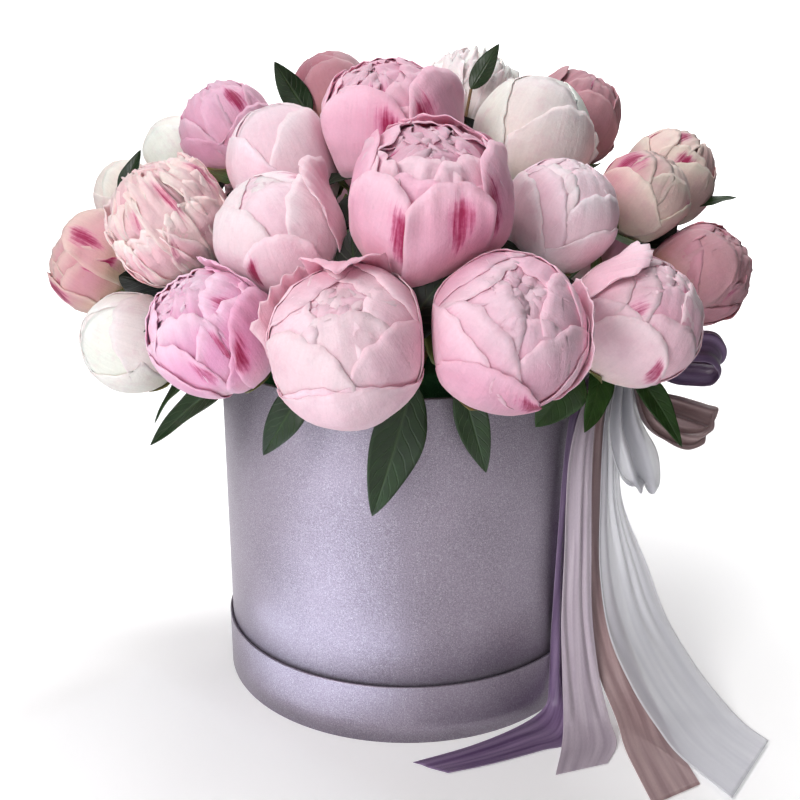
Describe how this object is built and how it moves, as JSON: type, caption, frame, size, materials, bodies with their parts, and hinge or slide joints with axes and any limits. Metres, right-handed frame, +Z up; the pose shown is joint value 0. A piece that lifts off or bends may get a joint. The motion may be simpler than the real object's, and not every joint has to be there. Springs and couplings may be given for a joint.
{
  "type": "flower box",
  "caption": "Round paper-covered hat box standing in its own lid, filled with a dome of peonies in wet foam, with leaves and a ribbon bow with long tails.",
  "frame": {"origin": "centre of the resting face of the upturned lid", "axes": "+Z up along the box's axis, -Y towards the viewer in front, bow at +X"},
  "size_m": [0.4011, 0.3638, 0.37],
  "materials": {
    "petal_pink": "petal, soft satin",
    "petal_white": "petal, soft satin",
    "leaf": "waxy leaf, satin",
    "foam": "wet floral foam, matte",
    "cover_paper": "pearlescent, fine grain",
    "board": "grey board, matte",
    "lining_paper": "matte",
    "film": "clear, gloss",
    "satin_purple": "satin",
    "satin_lilac": "satin",
    "satin_rose": "satin",
    "organza": "sheer, satin",
    "wood": "bare, matte",
    "wire": "green enamel, satin"
  },
  "bodies": {
    "lid": {"lid_rim_board": "board", "lid_side_paper": "cover_paper", "lid_top_board": "board", "lid_top_paper": "cover_paper"},
    "box": {"bow_knot": "satin_lilac", "bow_pick": "wood", "bow_wire": "wire", "box_floor": "board", "box_floor_paper": "cover_paper", "box_lining": "lining_paper", "box_side_paper": "cover_paper", "box_tube": "board", "film_liner": "film", "foam_brick_left": "foam", "foam_brick_right": "foam", "foam_wedge_back": "foam", "foam_wedge_front": "foam", "leaves_back": "leaf", "leaves_crown": "leaf", "leaves_front": "leaf", "leaves_left": "leaf", "leaves_right": "leaf", "peony_01": "petal_pink", "peony_02": "petal_pink", "peony_03": "petal_pink", "peony_04": "petal_pink", "peony_05": "petal_white", "peony_06": "petal_pink", "peony_07": "petal_pink", "peony_08": "petal_pink", "peony_09": "petal_pink", "peony_10": "petal_pink", "peony_11": "petal_pink", "peony_12": "petal_pink", "peony_13": "petal_pink", "peony_14": "petal_pink", "peony_15": "petal_pink", "peony_16": "petal_pink", "peony_17": "petal_pink", "peony_18": "petal_pink", "peony_19": "petal_pink", "peony_20": "petal_pink", "peony_21": "petal_pink", "peony_22": "petal_pink", "peony_23": "petal_pink", "peony_24": "petal_white", "peony_25": "petal_white", "peony_26": "petal_pink", "peony_27": "petal_pink", "peony_28": "petal_pink", "peony_29": "petal_white", "peony_30": "petal_pink", "peony_31": "petal_white", "peony_32": "petal_pink", "peony_33": "petal_pink", "peony_34": "petal_pink", "ribbon_lilac": "satin_lilac", "ribbon_organza": "organza", "ribbon_purple": "satin_purple", "ribbon_rose": "satin_rose"}
  },
  "joints": [
    {"name": "box_lift", "type": "slide", "parent": "lid", "child": "box", "axis": [0, 0, 1], "range_m": [0, 0.045]}
  ]
}
